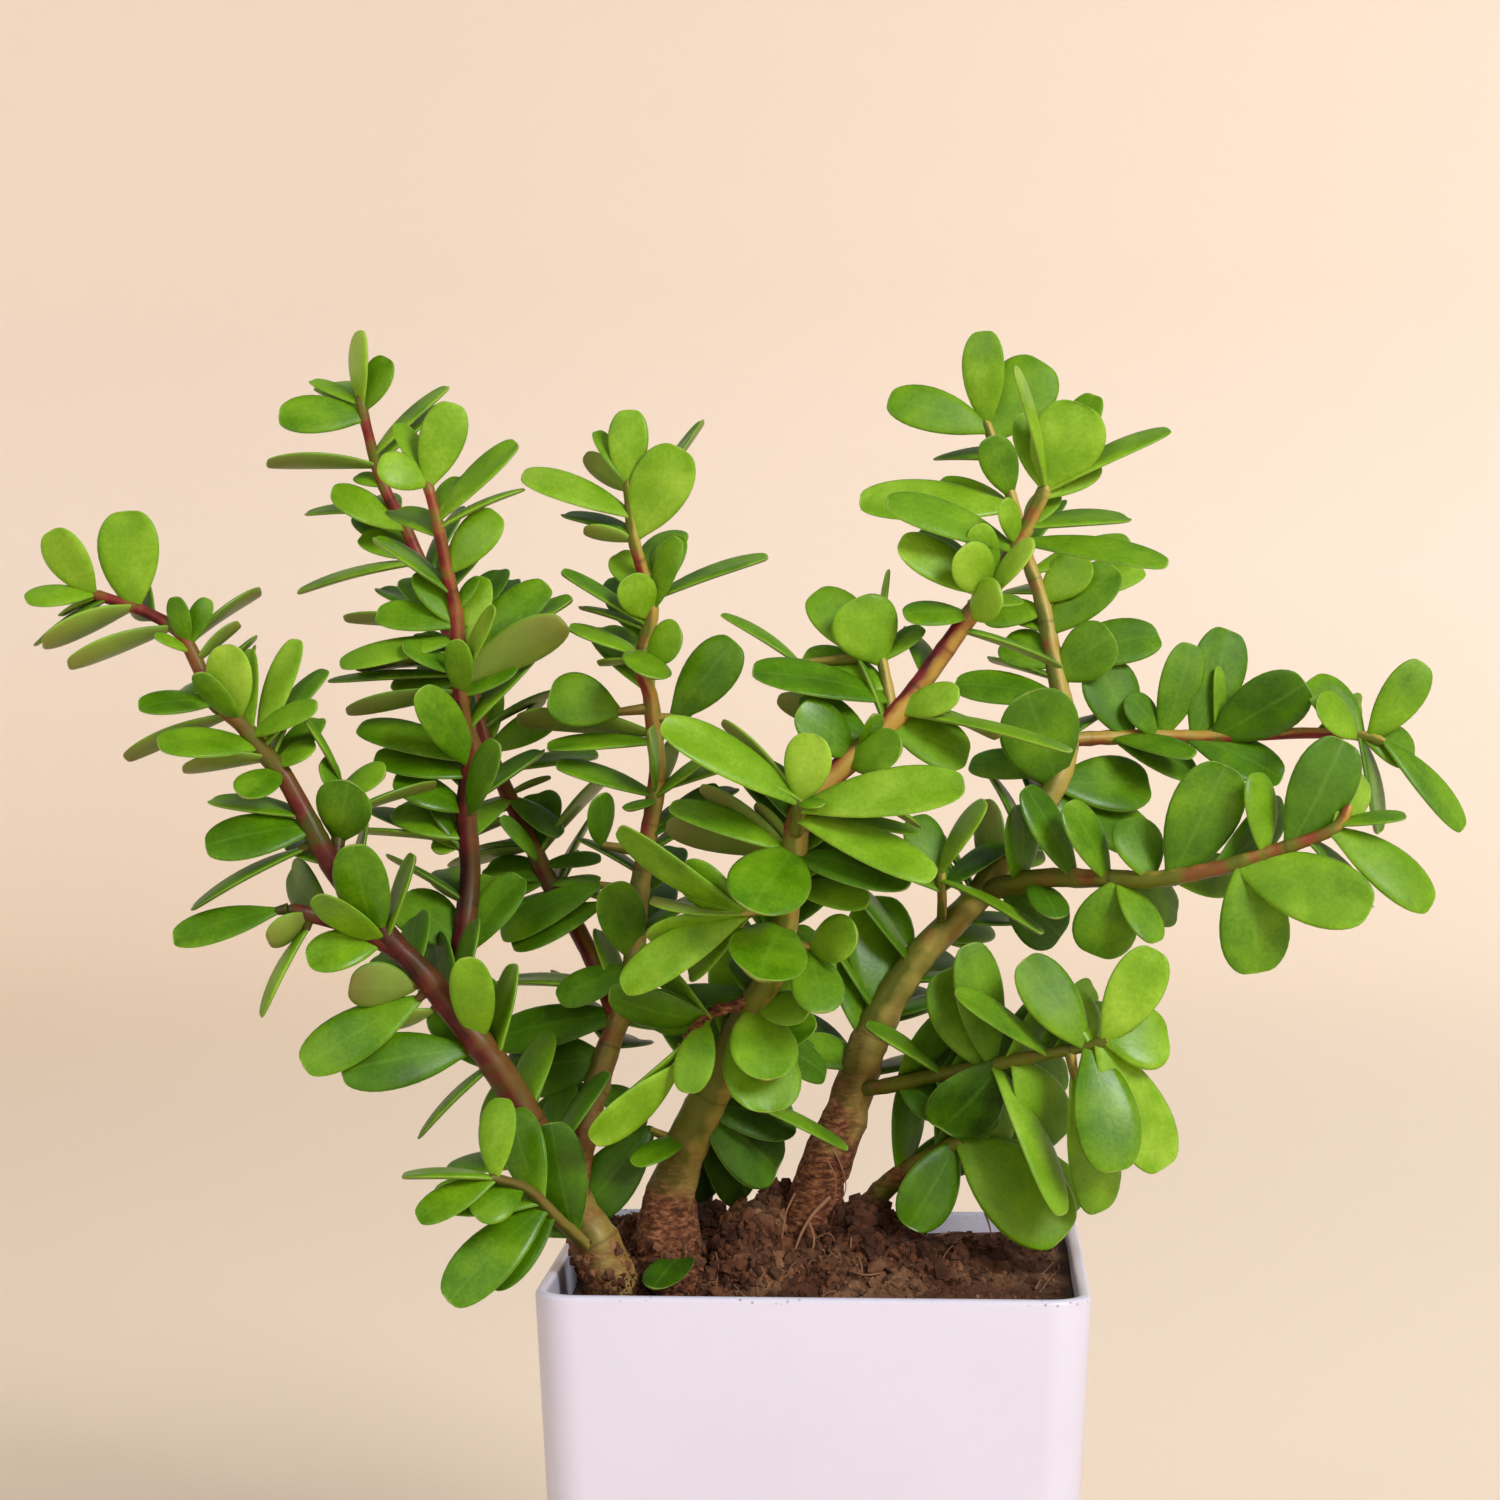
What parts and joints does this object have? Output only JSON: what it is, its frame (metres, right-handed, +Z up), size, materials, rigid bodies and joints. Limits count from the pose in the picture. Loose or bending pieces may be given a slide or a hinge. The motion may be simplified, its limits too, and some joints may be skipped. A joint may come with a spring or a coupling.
{
  "type": "potted jade plant",
  "caption": "Bushy succulent with thick stems and small fleshy paddle leaves, growing from a mound of soil in a square white plastic pot.",
  "frame": {"origin": "centre of the pot's flat base, which stands on the surface below", "axes": "+Z up, the pot's front wall faces -Y, and +X is to the right of someone who looks at that wall"},
  "size_m": [0.2675, 0.1101, 0.2769],
  "materials": {
    "pot_plastic": "gloss",
    "soil": "matte",
    "succulent": "satin"
  },
  "bodies": {
    "root": {"pot": "pot_plastic", "soil": "soil", "leafy_stem_left": "succulent", "leafy_stem_middle": "succulent", "leafy_stem_right": "succulent", "leafy_stem_low": "succulent"}
  },
  "joints": []
}
